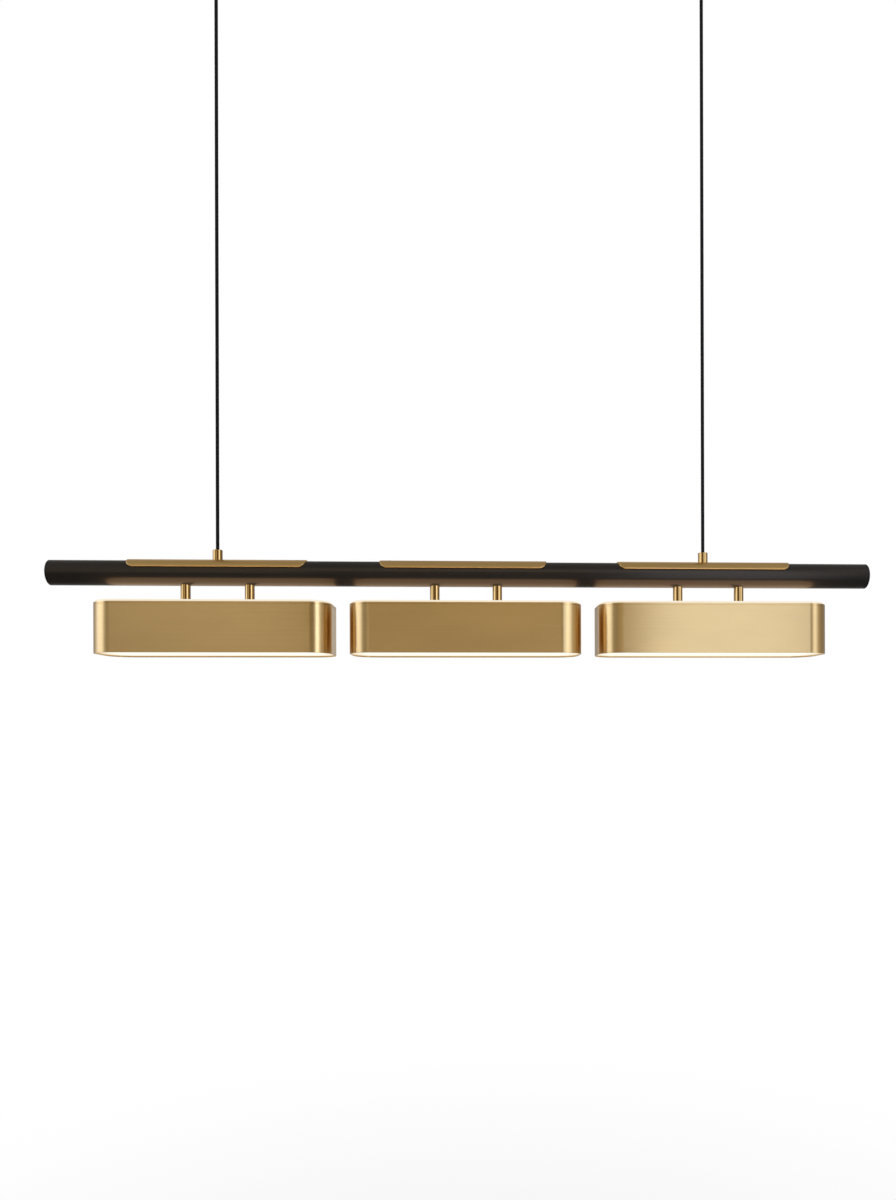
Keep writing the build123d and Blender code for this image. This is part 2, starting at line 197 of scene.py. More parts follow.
class Recipe:
    """The node tree of a material or of the world, filled from nothing."""

    def __init__(self, owner):
        owner.use_nodes = True
        self.tree = owner.node_tree
        self.tree.nodes.clear()

    def node(self, kind, settings=None, inputs=None):
        """A node of this kind: its settings come first, then what goes into its sockets."""
        made = self.tree.nodes.new(kind)
        for name, setting in (settings or {}).items():
            if name == "stops":
                self.set_stops(made.color_ramp, setting)
            else:
                setattr(made, name, setting)
        for name, given in (inputs or {}).items():
            self.feed(made.inputs[name], given)
        return made

    def set_stops(self, ramp, stops):
        while len(ramp.elements) < len(stops):
            ramp.elements.new(0.5)
        for element, (position, colour) in zip(ramp.elements, stops):
            element.position = position
            element.color = (*colour, 1.0)

    def feed(self, socket, given):
        if isinstance(given, Amount):
            given = given.socket
        if isinstance(given, bpy.types.NodeSocket):
            self.tree.links.new(given, socket)
        elif socket.type == "RGBA" and len(given) == 3:
            socket.default_value = (*given, 1.0)
        else:
            socket.default_value = given

    def amount(self, kind, settings=None, inputs=None, output=0):
        return Amount(self, self.node(kind, settings, inputs).outputs[output])

    def maths(self, operation, *values):
        return self.amount("ShaderNodeMath", {"operation": operation}, dict(enumerate(values)))

    def place(self):
        """The piece's own X, Y and Z at each point."""
        whole = self.node("ShaderNodeTexCoord").outputs["Object"]
        parts = self.node("ShaderNodeSeparateXYZ", None, {0: whole}).outputs
        return [Amount(self, part) for part in parts]

    def from_edge(self, first, second, corner, width):
        """From 0 at a rounded edge to 1 this far inside it.

        first and second are how far a point lies past the centre of the corner's round.
        """
        past = [self.maths("MAXIMUM", reach, 0.0) for reach in (first, second)]
        reach = self.maths("SQRT", past[0] * past[0] + past[1] * past[1])
        return self.smooth(reach, corner, corner - width)

    def smooth(self, value, start, stop):
        """From 0 at start to 1 at stop, easing in and out."""
        spread = {"Value": value, "From Min": start, "From Max": stop}
        return self.amount("ShaderNodeMapRange", {"interpolation_type": "SMOOTHSTEP"}, spread)

    def blend(self, factor, first, second):
        """A colour between two others."""
        inputs = {0: factor, 6: first, 7: second}
        return self.node("ShaderNodeMix", {"data_type": "RGBA"}, inputs).outputs[2]

    def grain(self, stretch, detail=2.0, roughness=0.5):
        """Noise on the piece's own coordinates, from 0 to 1.

        The stretch is the number of waves in a metre along X, Y and Z.
        """
        place = self.node("ShaderNodeTexCoord").outputs["Object"]
        drawn = self.node("ShaderNodeMapping", None, {"Vector": place, "Scale": stretch})
        noise = {"Vector": drawn.outputs[0], "Scale": 1.0, "Detail": detail, "Roughness": roughness}
        value = self.amount("ShaderNodeTexNoise", None, noise)
        spread = {"Value": value, "From Min": 0.25, "From Max": 0.75}
        return self.amount("ShaderNodeMapRange", None, spread)

    def bump(self, height, strength, distance):
        """A normal raised by this height."""
        relief = {"Strength": strength, "Distance": distance, "Height": height}
        return self.node("ShaderNodeBump", None, relief).outputs[0]

    def surface(self, inputs):
        return self.node("ShaderNodeBsdfPrincipled", None, inputs)

    def light(self, kind, colour, strength=1.0):
        """Light of one colour, for a world or a surface that shines."""
        return self.node(kind, None, {"Color": colour, "Strength": strength}).outputs[0]

    def choose(self, factor, first, second):
        """One shader or the other."""
        return self.node("ShaderNodeMixShader", None, {0: factor, 1: first, 2: second})

    def finish(self, surface, kind="ShaderNodeOutputMaterial"):
        self.node(kind, None, {"Surface": surface})


def new_finish(name, build, *settings, **more):
    """A material of this name, made once."""
    finish = bpy.data.materials.get(name)
    if finish is None:
        finish = bpy.data.materials.new(name)
        recipe = Recipe(finish)
        recipe.finish(build(recipe, *settings, **more).outputs[0])
    return finish


def toned(colour, share):
    """The same colour, darker or lighter."""
    return [min(channel * share, 1.0) for channel in colour]


def brass_tones(recipe, colour, lines):
    """Brass a little darker and lighter along its brush lines and in soft clouds."""
    clouds = recipe.grain((7.0, 7.0, 22.0), detail=3.0)
    return recipe.blend(lines * 0.5 + clouds * 0.5, toned(colour, 0.87), toned(colour, 1.08))


def brushed_metal(recipe, colour, stretch, roughness, directional, depth):
    """Lacquered metal with fine brush lines, which run where the stretch has few waves."""
    lines = recipe.grain(stretch, detail=3.0, roughness=0.6)
    return recipe.surface(
        {
            "Base Color": brass_tones(recipe, colour, lines),
            "Metallic": 1.0,
            "Roughness": lines * 0.05 + roughness,
            "Anisotropic": directional,
            "Anisotropic Rotation": 0.25,
            "Coat Weight": 0.7,
            "Coat Roughness": 0.22,
            "Normal": recipe.bump(lines, depth, 0.0002),
        }
    )


def edged_plate(recipe, colour, middle, length, foot, corner):
    """Brushed plate with a bumped rounded edge along its skirts and its ends, where the colour is
    also painted lighter as a painted highlight.
    """
    x, _, z = recipe.place()
    past_end = recipe.maths("ABSOLUTE", x - middle) - (length / 2 - corner)
    rise = recipe.from_edge(past_end, (foot + corner) - z, corner, width=0.0012)
    lines = recipe.grain((2.0, 700.0, 700.0), detail=3.0, roughness=0.6)
    body = brass_tones(recipe, colour, lines)
    return recipe.surface(
        {
            # Painted highlight: the base colour is a quarter lighter along the rounded edge.
            "Base Color": recipe.blend(rise, toned(colour, 1.25), body),
            "Metallic": 1.0,
            "Roughness": lines * 0.05 + 0.3,
            "Normal": recipe.bump(rise + lines * 0.01, 1.0, 0.0009),
        }
    )


def powder_coat(recipe, colour, roughness, sheen=WHITE):
    """Satin powder coat with its faint orange peel."""
    peel = recipe.grain((900.0, 900.0, 900.0))
    clouds = recipe.grain((12.0, 12.0, 12.0))
    return recipe.surface(
        {
            "Base Color": recipe.blend(clouds, colour, toned(colour, 1.25)),
            "Roughness": clouds * 0.06 + roughness,
            "Specular IOR Level": 0.42,
            "Specular Tint": sheen,
            "Normal": recipe.bump(peel, 0.08, 0.0002),
        }
    )


def moulded_plastic(recipe, colour, roughness):
    """Plain moulded plastic with a very fine texture."""
    texture = recipe.grain((1400.0, 1400.0, 1400.0), detail=1.0)
    clouds = recipe.grain((20.0, 20.0, 20.0))
    return recipe.surface(
        {
            "Base Color": recipe.blend(clouds, toned(colour, 0.94), colour),
            "Roughness": clouds * 0.08 + roughness,
            "Normal": recipe.bump(texture, 0.05, 0.0001),
        }
    )


def opal_glow(recipe, colour, middle, length, depth, corner):
    """Opal acrylic lit from behind, dimmer and warmer towards the brass round it."""
    x, y, _ = recipe.place()
    past_end = recipe.maths("ABSOLUTE", x - middle) - (length / 2 - corner)
    past_side = recipe.maths("ABSOLUTE", y) - (depth / 2 - corner)
    rise = recipe.from_edge(past_end, past_side, corner, width=corner * 0.8)
    clouds = recipe.grain((6.0, 20.0, 20.0), detail=1.0)
    warm = [channel * share for channel, share in zip(colour, (0.84, 0.78, 0.68))]
    return recipe.surface(
        {
            "Base Color": recipe.blend(clouds, (0.17, 0.16, 0.15), (0.2, 0.19, 0.18)),
            "Roughness": clouds * 0.05 + 0.32,
            "Emission Color": recipe.blend(rise, warm, colour),
            "Emission Strength": 0.95,
        }
    )


def light_board(recipe, colour, middle, chip_pitch, row_reach, chip_reach):
    """White board whose two rows of light chips are yellow.

    row_reach is from the board's middle line to a row of chips, and chip_reach is from a
    chip's centre to just past its edge.
    """
    x, y, _ = recipe.place()
    along = recipe.maths("PINGPONG", x - middle + chip_pitch / 2, chip_pitch / 2)
    aside = recipe.maths("ABSOLUTE", recipe.maths("ABSOLUTE", y) - row_reach)
    chip = recipe.maths("LESS_THAN", recipe.maths("MAXIMUM", along, aside), chip_reach)
    texture = recipe.grain((900.0, 900.0, 900.0), detail=1.0)
    board = recipe.blend(texture, toned(colour, 0.94), colour)
    return recipe.surface(
        {
            "Base Color": recipe.blend(chip, board, (0.85, 0.55, 0.08)),
            "Roughness": texture * 0.08 + 0.32,
        }
    )


def zinc_plate(recipe, colour):
    """Dull zinc plating with a mottled tone."""
    mottle = recipe.grain((160.0, 160.0, 160.0), detail=3.0)
    return recipe.surface(
        {
            "Base Color": recipe.blend(mottle, toned(colour, 0.8), colour),
            "Metallic": 1.0,
            "Roughness": mottle * 0.15 + 0.32,
        }
    )


def cord_jacket(recipe, colour):
    """Round black cord with a fine woven jacket."""
    place = recipe.node("ShaderNodeTexCoord").outputs["Object"]
    weave = []
    for lean in (1.0, -1.0):
        turned = {"Vector": place, "Rotation": (radians(38) * lean, 0.0, radians(30) * lean)}
        drawn = recipe.node("ShaderNodeMapping", None, turned).outputs[0]
        wave = {"Vector": drawn, "Scale": 260.0, "Distortion": 0.4}
        weave.append(recipe.amount("ShaderNodeTexWave", {"bands_direction": "Z"}, wave, output=1))
    threads = weave[0] * 0.5 + weave[1] * 0.5
    return recipe.surface(
        {
            "Base Color": recipe.blend(threads, colour, toned(colour, 1.6)),
            "Roughness": threads * 0.1 + 0.7,
            "Specular IOR Level": 0.16,
        }
    )


def satin_black(context):
    """The black coat of the tube and of the ceiling fittings."""
    colour = context.scene.pendant_colours.black
    sheen = (1.0, 0.76, 0.52)
    return new_finish("satin black coat", powder_coat, colour, roughness=0.22, sheen=sheen)


# Pieces -------------------------------------------------------------------------------


def coat(piece, finish):
    """Give a piece one finish all over."""
    piece.data.materials.clear()
    piece.data.materials.append(finish)


def coat_nodes(names, finish):
    for name in names:
        coat(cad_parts[name], finish)


def mesh_piece(name, work, finish, slot, body, *replaced):
    """Turn finished bmesh work into a smooth-shaded piece that stands for CAD nodes."""
    for face in work.faces:
        face.smooth = True
    mesh = bpy.data.meshes.new(name)
    work.to_mesh(mesh)
    work.free()
    mesh.set_sharp_from_angle(angle=SHARP_ANGLE)
    piece = bpy.data.objects.new(name, mesh)
    bpy.context.scene.collection.objects.link(piece)
    evener = piece.modifiers.new("Even shading", "WEIGHTED_NORMAL")
    evener.keep_sharp = True
    depsgraph = bpy.context.evaluated_depsgraph_get()
    evened = bpy.data.meshes.new_from_object(piece.evaluated_get(depsgraph))
    piece.modifiers.clear()
    piece.data = evened
    bpy.data.meshes.remove(mesh)
    evened.name = name
    coat(piece, finish)
    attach(piece, body)
    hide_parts(*replaced)
    return piece


def middle_of(node):
    """The middle of a CAD node's box."""
    low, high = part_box(node)
    return (low + high) / 2


def rounded_outline(work, centre, length, depth, corner, height):
    """A rectangle with rounded corners, at this height."""
    made = bmesh.ops.create_grid(work, x_segments=1, y_segments=1, size=0.5)
    corners = made["verts"]
    bmesh.ops.scale(work, vec=(length, depth, 1.0), verts=corners)
    bmesh.ops.translate(work, vec=(centre.x, centre.y, height), verts=corners)
    bmesh.ops.bevel(
        work,
        geom=corners,
        offset=corner,
        offset_type="OFFSET",
        segments=CORNER_SEGMENTS,
        profile=0.5,
        affect="VERTICES",
        material=-1,
    )


def spun(work, profile, place):
    """A body turned round its own Z and put in place: each point is a radius and a height.

    A profile that starts on the axis also ends there.
    """
    points = [work.verts.new((radius, 0.0, height)) for radius, height in profile]
    pairs = list(zip(points, points[1:]))
    if profile[0][0] > 0:
        pairs.append((points[-1], points[0]))
    rim = [work.edges.new(pair) for pair in pairs]
    bmesh.ops.spin(
        work,
        geom=points + rim,
        cent=(0.0, 0.0, 0.0),
        axis=(0.0, 0.0, 1.0),
        angle=tau,
        steps=ROUND_STEPS,
        use_merge=True,
    )
    bmesh.ops.remove_doubles(work, verts=work.verts, dist=MERGE_DISTANCE)
    bmesh.ops.transform(work, matrix=place, verts=work.verts)
    bmesh.ops.recalc_face_normals(work, faces=work.faces)


def socket_screw(work, place, rows, socket_radius, socket_depth):
    """A screw with a hexagon socket: rows are radii and heights from its point to its crown."""
    crown = rows[-1][1]
    floor = crown - socket_depth
    rings = [(SCREW_SEGMENTS, radius, height) for radius, height in rows]
    rings += [(HEXAGON_SIDES, socket_radius, height) for height in (crown, floor)]
    loops = []
    for ring in rings:
        segments, radius, height = ring
        closed = ring is rings[0] or ring is rings[-1]
        made = bmesh.ops.create_circle(work, cap_ends=closed, segments=segments, radius=radius)
        verts = made["verts"]
        lift = Matrix.Translation((0.0, 0.0, height))
        bmesh.ops.transform(work, matrix=place @ lift, verts=verts)
        loops.append(list({edge for vert in verts for edge in vert.link_edges}))
    for first, second in zip(loops, loops[1:]):
        bmesh.ops.bridge_loops(work, edges=first + second)
    bmesh.ops.recalc_face_normals(work, faces=work.faces)


# Operators ----------------------------------------------------------------------------


class PENDANT_OT_stage(bpy.types.Operator):
    """Floor, soft light, lamp light and camera"""

    bl_idname = "pendant.stage"
    bl_label = "Stage"

    # The camera as it stood for the photograph, round the middle of the tube.
    picture_width = 896
    picture_height = 1200
    focal_pixels = 895.1
    centre_column = 514.6
    centre_row = 720.9
    turn = 0.0467
    roll = -0.0028
    across = 0.0716
    below = -0.2157
    away = 1.32
    sensor_width = 36.0
    nearest, farthest = 0.05, 60.0

    # Soft boxes round the room: the bearing from the camera's side, positive towards the
    # right, with the tint and strength of the light there.
    daylight = (0.65, 0.76, 1.0)
    lamplight = (1.0, 0.98, 0.93)
    soft_boxes = (
        (-180, lamplight, 0.4),
        (-172, lamplight, 0.25),
        (-160, lamplight, 0.7),
        (-145, lamplight, 0.4),
        (-115, lamplight, 0.4),
        (-85, daylight, 3.1),
        (-62, daylight, 3.1),
        (-46, lamplight, 0.45),
        (-26, lamplight, 0.45),
        (-20, lamplight, 0.8),
        (-8, lamplight, 0.8),
        (0, lamplight, 1.0),
        (4, lamplight, 1.0),
        (6, lamplight, 1.5),
        (11, lamplight, 0.4),
        (35, lamplight, 0.4),
        (45, daylight, 3.1),
        (54, daylight, 3.1),
        (72, lamplight, 0.7),
        (100, lamplight, 0.25),
        (145, lamplight, 0.25),
        (163, lamplight, 0.6),
        (180, lamplight, 0.4),
    )
    # How far up a direction points where the light of the ceiling starts and is full.
    ceiling_starts, ceiling_full = 0.6, 0.85
    ceiling_light = (0.32, 0.31, 0.30)
    matt_light = (0.62, 0.62, 0.62)

    # The floor, with how far from its middle the shadow starts to show and is full, and how
    # far back it starts to turn paler and is palest.
    floor_radius = 25.0
    shadow_starts, shadow_full = 2.2, 0.4
    shadow_share = 0.12
    far_starts, far_full = 0.5, 3.0
    near_floor = (0.3, 0.3, 0.29)
    far_floor = (0.75, 0.75, 0.74)

    screen_width = 1.1
    screen_height = 0.36
    screen_place = (0.075, -1.35, -0.75)
    screen_colour = (0.2, 0.13, 0.04)

    # Area lights: width, depth, power in watts, colour, place and turn about X.
    overhead_light = (2.4, 1.6, 16.0, WHITE, (0.3, -0.9, 1.6), radians(-18))
    blue_card = (0.42, 1.1, 2.5, (0.52, 0.66, 1.0), (0.592, -0.7, -0.85), radians(90))
    lamp_depth_share = 0.9
    lamp_lift = 0.001

    def execute(self, context):
        settings = context.scene.pendant_studio
        self.make_camera(context)
        self.make_room(context, settings)
        self.make_floor(context, settings)
        self.make_screen(context)
        self.make_lights(context, settings)
        context.scene.view_settings.view_transform = "Standard"
        return {"FINISHED"}

    def make_camera(self, context):
        right = Vector((cos(self.turn), -sin(self.turn), 0.0)) * cos(self.roll)
        right.z = sin(self.roll)
        forward = Vector((sin(self.turn), cos(self.turn), 0.0))
        up = right.cross(forward)
        place = middle_of("main_tube") + right * self.across + up * self.below - forward * self.away
        data = bpy.data.cameras.new("Camera")
        camera = bpy.data.objects.new("Camera", data)
        context.scene.collection.objects.link(camera)
        axes = Matrix((right, up, -forward)).transposed()
        camera.matrix_world = Matrix.Translation(place) @ axes.to_4x4()
        long_side = self.picture_height
        data.sensor_width = self.sensor_width
        data.lens = self.focal_pixels / long_side * self.sensor_width
        data.shift_x = (self.picture_width / 2 - self.centre_column) / long_side
        data.shift_y = (self.centre_row - self.picture_height / 2) / long_side
        data.clip_start = self.nearest
        data.clip_end = self.farthest
        context.scene.camera = camera

    def make_room(self, context, settings):
        """Soft boxes in what shines, even light on what is matt, and white behind."""
        room = bpy.data.worlds.new("Studio")
        context.scene.world = room
        recipe = Recipe(room)
        direction = recipe.node("ShaderNodeTexCoord").outputs["Generated"]
        parts = recipe.node("ShaderNodeSeparateXYZ", None, {0: direction}).outputs
        x, y, z = [Amount(recipe, part) for part in parts]
        bearing = recipe.maths("ARCTAN2", x, y * -1.0)
        stops = []
        for angle, tint, strength in self.soft_boxes:
            stops.append(((angle + 180) / 360, [channel * strength for channel in tint]))
        turn = {0: bearing / tau + 0.5}
        around = recipe.node("ShaderNodeValToRGB", {"stops": stops}, turn).outputs[0]
        overhead = recipe.smooth(z, self.ceiling_starts, self.ceiling_full)
        boxes = recipe.blend(overhead, around, self.ceiling_light)
        lit = recipe.light("ShaderNodeBackground", boxes, settings.room_light)
        even = recipe.light("ShaderNodeBackground", self.matt_light, settings.room_light)
        white = recipe.light("ShaderNodeBackground", WHITE)
        path = recipe.node("ShaderNodeLightPath").outputs
        shiny = Amount(recipe, path["Is Glossy Ray"]) + Amount(recipe, path["Is Transmission Ray"])
        reflected = recipe.choose(shiny, even, lit).outputs[0]
        seen = recipe.choose(path["Is Camera Ray"], reflected, white).outputs[0]
        recipe.finish(seen, "ShaderNodeOutputWorld")

    def stage_piece(self, context, name, work, finish):
        """Turn finished bmesh work into a part of the studio."""
        mesh = bpy.data.meshes.new(name)
        work.to_mesh(mesh)
        work.free()
        piece = bpy.data.objects.new(name, mesh)
        context.scene.collection.objects.link(piece)
        coat(piece, finish)
        return piece

    def make_floor(self, context, settings):
        height = settings.floor_height
        work = bmesh.new()
        bmesh.ops.create_circle(
            work,
            cap_ends=True,
            segments=ROUND_STEPS,
            radius=self.floor_radius,
        )
        bmesh.ops.translate(work, vec=(0.0, 0.0, height), verts=work.verts)
        self.stage_piece(context, "floor", work, new_finish("pale floor", self.pale_floor, height))

    def make_screen(self, context):
        """A dark screen behind the camera, seen only in the metal."""
        work = bmesh.new()
        bmesh.ops.create_grid(work, x_segments=1, y_segments=1, size=0.5)
        bmesh.ops.scale(work, vec=(self.screen_width, self.screen_height, 1.0), verts=work.verts)
        bmesh.ops.rotate(work, matrix=Matrix.Rotation(radians(90), 3, "X"), verts=work.verts)
        bmesh.ops.translate(work, vec=self.screen_place, verts=work.verts)
        finish = new_finish("dark screen", self.amber_glow)
        screen = self.stage_piece(context, "dark_screen", work, finish)
        screen.visible_camera = False
        screen.visible_diffuse = False
        screen.visible_shadow = False

    def amber_glow(self, recipe):
        amber = {"Color": self.screen_colour, "Strength": 1.0}
        return recipe.node("ShaderNodeEmission", None, amber)

    def pale_floor(self, recipe, floor_height):
        """A matt floor, paler at the back, that looks white but for a soft shadow."""
        place = recipe.node("ShaderNodeTexCoord").outputs["Object"]
        under = {0: place, 1: (0.0, 0.0, floor_height)}
        reach = recipe.amount("ShaderNodeVectorMath", {"operation": "DISTANCE"}, under, output=1)
        near = recipe.smooth(reach, self.shadow_starts, self.shadow_full)
        behind = recipe.smooth(recipe.place()[1], self.far_starts, self.far_full)
        pale = recipe.blend(behind, self.near_floor, self.far_floor)
        matt = recipe.node("ShaderNodeBsdfDiffuse", None, {"Color": pale}).outputs[0]
        white = recipe.light("ShaderNodeEmission", WHITE)
        camera = recipe.node("ShaderNodeLightPath").outputs["Is Camera Ray"]
        keep = Amount(recipe, camera) * (1.0 - near * self.shadow_share)
        return recipe.choose(keep, matt, white)

    def make_lights(self, context, settings):
        above = self.area_light(context, "overhead", *self.overhead_light)
        above.visible_glossy = False
        self.area_light(context, "card", *self.blue_card)
        receivers = bpy.data.collections.new("lamp light receivers")
        for name in ("main_tube", *(f"saddle_plate_{side}" for side in SIDES)):
            receivers.objects.link(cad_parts[name])
        for side in SIDES:
            low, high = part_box(f"upper_diffuser_{side}")
            size = high - low
            lamp = self.area_light(
                context,
                f"glow_{side}",
                size.x,
                size.y * self.lamp_depth_share,
                settings.lamp_power,
                context.scene.pendant_colours.lamp,
                ((low.x + high.x) / 2, 0.0, high.z + self.lamp_lift),
                pi,
            )
            lamp.light_linking.receiver_collection = receivers
            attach(lamp, "bar")

    def area_light(self, context, name, width, depth, power, colour, place, turn):
        """A rectangular light that the camera doesn't see."""
        data = bpy.data.lights.new(name, "AREA")
        data.shape = "RECTANGLE"
        data.size, data.size_y = width, depth
        data.energy = power
        data.color = colour
        lamp = bpy.data.objects.new(name, data)
        lamp.location = place
        lamp.rotation_euler = (turn, 0.0, 0.0)
        lamp.visible_camera = False
        context.scene.collection.objects.link(lamp)
        return lamp


class PENDANT_OT_cords(bpy.types.Operator):
    """Both cords, straight and taut from the swivel ball to the gland"""

    bl_idname = "pendant.cords"
    bl_label = "Cords"

    jacket_colour = (0.007, 0.0068, 0.0065)
    # Height of the swivel ball's middle, and how far from each end the inner points lie.
    swing_height = -0.043
    straight_end = 0.03

    def execute(self, context):
        sizes = context.scene.pendant_sizes
        finish = new_finish("woven black cord", cord_jacket, self.jacket_colour)
        top = self.swing_height
        foot = top - sizes.cord_length
        heights = (top, top - self.straight_end, foot + self.straight_end, foot)
        for end in ENDS:
            x = middle_of(f"cord_{end}").x
            line = bpy.data.curves.new(f"taut_cord_{end}", "CURVE")
            line.dimensions = "3D"
            run = line.splines.new("NURBS")
            run.points.add(len(heights) - 1)
            for point, height in zip(run.points, heights):
                point.co = (x, 0.0, height, 1.0)
            run.order_u = 3
            run.use_endpoint_u = True
            line.bevel_depth = sizes.cord_diameter / 2
            line.bevel_resolution = 6
            line.use_fill_caps = True
            line.materials.append(finish)
            piece = bpy.data.objects.new(f"taut_cord_{end}", line)
            context.scene.collection.objects.link(piece)
            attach(piece, f"{end}_cord")
            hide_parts(f"cord_{end}")
        return {"FINISHED"}


class PENDANT_OT_shades(bpy.types.Operator):
    """The three brushed brass rings, with a fine line under the upper rim"""

    bl_idname = "pendant.shades"
    bl_label = "Shades"

    edge_round = 0.0004
    line_width = 0.0006
    line_depth = 0.0005
    line_slope = 0.2
    rim_lean = 0.0001
    round_share = 0.3
    brushing = {
        "stretch": (2.0, 2.0, 1500.0),
        "roughness": 0.33,
        "directional": 0.93,
        "depth": 0.05,
    }

    def execute(self, context):
        sizes = context.scene.pendant_sizes
        colour = context.scene.pendant_colours.brass
        finish = new_finish("brushed brass", brushed_metal, colour, **self.brushing)
        for side in SIDES:
            low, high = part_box(f"shade_{side}")
            work = bmesh.new()
            self.sweep_wall(work, low, high, sizes)
            mesh_piece(f"brass_shade_{side}", work, finish, "brushed_brass", "bar", f"shade_{side}")
        return {"FINISHED"}

    def wall_section(self, tall, sizes):
        """Height and depth into the wall of each edge, up the outside and down the inside."""
        soft, wall = self.edge_round, sizes.shade_wall
        half_round = soft * self.round_share
        line = tall - sizes.rim_height
        width = self.line_width
        outside = [
            (0.0, soft),
            (half_round, half_round),
            (soft, 0.0),
            (line - width, 0.0),
            (line - width * (1 - self.line_slope), self.line_depth),
            (line - width * self.line_slope, self.line_depth),
            (line, 0.0),
            (tall - soft, 0.0),
            (tall - half_round, half_round),
            (tall, soft),
        ]
        lean = self.rim_lean
        inside = [
            (tall - lean, wall - soft),
            (tall - soft, wall),
            (soft, wall),
            (lean, wall - soft),
        ]
        return outside + inside

    def sweep_wall(self, work, low, high, sizes):
        size = high - low
        centre = (low + high) / 2
        loops = []
        for height, inset in self.wall_section(size.z, sizes):
            before = set(work.edges)
            rounded_outline(
                work,
                centre,
                size.x - 2 * inset,
                size.y - 2 * inset,
                sizes.shade_corner - inset,
                low.z + height,
            )
            loops.append([edge for edge in work.edges if edge not in before])
        bmesh.ops.delete(work, geom=work.faces[:], context="FACES_ONLY")
        for first, second in zip(loops, loops[1:] + loops[:1]):
            bmesh.ops.bridge_loops(work, edges=first + second)
        bmesh.ops.recalc_face_normals(work, faces=work.faces)


class PENDANT_OT_bar(bpy.types.Operator):
    """Finishes of the tube, the saddle plates, glands and stems"""

    bl_idname = "pendant.bar"
    bl_label = "Bar"

    saddle_corner = 0.011
    # Painted shade: the glands and stems get a darker, deeper copy of the brass.
    painted_shade_share = (0.62, 0.56, 0.42)
    turning = {"stretch": (30.0, 30.0, 2500.0), "roughness": 0.07, "directional": 0.0, "depth": 0.0}

    def execute(self, context):
        brass = context.scene.pendant_colours.brass
        coat_nodes(["main_tube"], satin_black(context))
        for side in SIDES:
            low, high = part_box(f"saddle_plate_{side}")
            shape = ((low.x + high.x) / 2, high.x - low.x, low.z, self.saddle_corner)
            plate = new_finish(f"brushed brass plate {side}", edged_plate, brass, *shape)
            coat_nodes([f"saddle_plate_{side}"], plate)
        # Painted shade: a darker copy of the brass for the glands and stems.
        deep = [channel * share for channel, share in zip(brass, self.painted_shade_share)]
        turned = new_finish("turned brass with painted shade", brushed_metal, deep, **self.turning)
        coat_nodes([f"cable_gland_{end}" for end in ENDS], turned)
        coat_nodes([f"stem_{side}_{letter}" for side in SIDES for letter in STEM_LETTERS], turned)
        return {"FINISHED"}


class PENDANT_OT_caps(bpy.types.Operator):
    """End caps of the tube, each with a fine groove where it meets the tube"""

    bl_idname = "pendant.caps"
    bl_label = "End caps"

    thickness = 0.003
    spigot_length = 0.01
    spigot_step = 0.0021
    groove = 0.0005
    groove_shares = (0.6, 1.4)
    soft = 0.0013
    round_steps = 4
    cap_share = 0.6
    coating = {"roughness": 0.42, "sheen": (1.0, 0.85, 0.7)}

    def execute(self, context):
        deep = toned(context.scene.pendant_colours.black, self.cap_share)
        black = new_finish("satin black cap", powder_coat, deep, **self.coating)
        for end, outward in (("left", radians(-90)), ("right", radians(90))):
            low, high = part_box(f"end_cap_{end}")
            seam = high.x - self.spigot_length if end == "left" else low.x + self.spigot_length
            place = Matrix.Translation((seam, 0.0, (low.z + high.z) / 2))
            work = bmesh.new()
            turned = Matrix.Rotation(outward, 4, "Y")
            spun(work, self.section((high.z - low.z) / 2), place @ turned)
            mesh_piece(f"turned_cap_{end}", work, black, "black_metal", "bar", f"end_cap_{end}")
        return {"FINISHED"}

    def section(self, radius):
        """Radius and reach past the seam of each edge, from the spigot to the outer face."""
        spigot, groove = radius - self.spigot_step, self.groove
        floor, rim = [groove * share for share in self.groove_shares]
        inner = [
            (0.0, -self.spigot_length),
            (spigot - groove, -self.spigot_length),
            (spigot, groove - self.spigot_length),
            (spigot, 0.0),
            (radius - groove, 0.0),
            (radius - groove, floor),
            (radius, rim),
        ]
        turns = [radians(90) * step / self.round_steps for step in range(self.round_steps + 1)]
        soft, middle, level = self.soft, radius - self.soft, self.thickness - self.soft
        rounded = [(middle + soft * cos(turn), level + soft * sin(turn)) for turn in turns]
        return [*inner, *rounded, (0.0, self.thickness)]


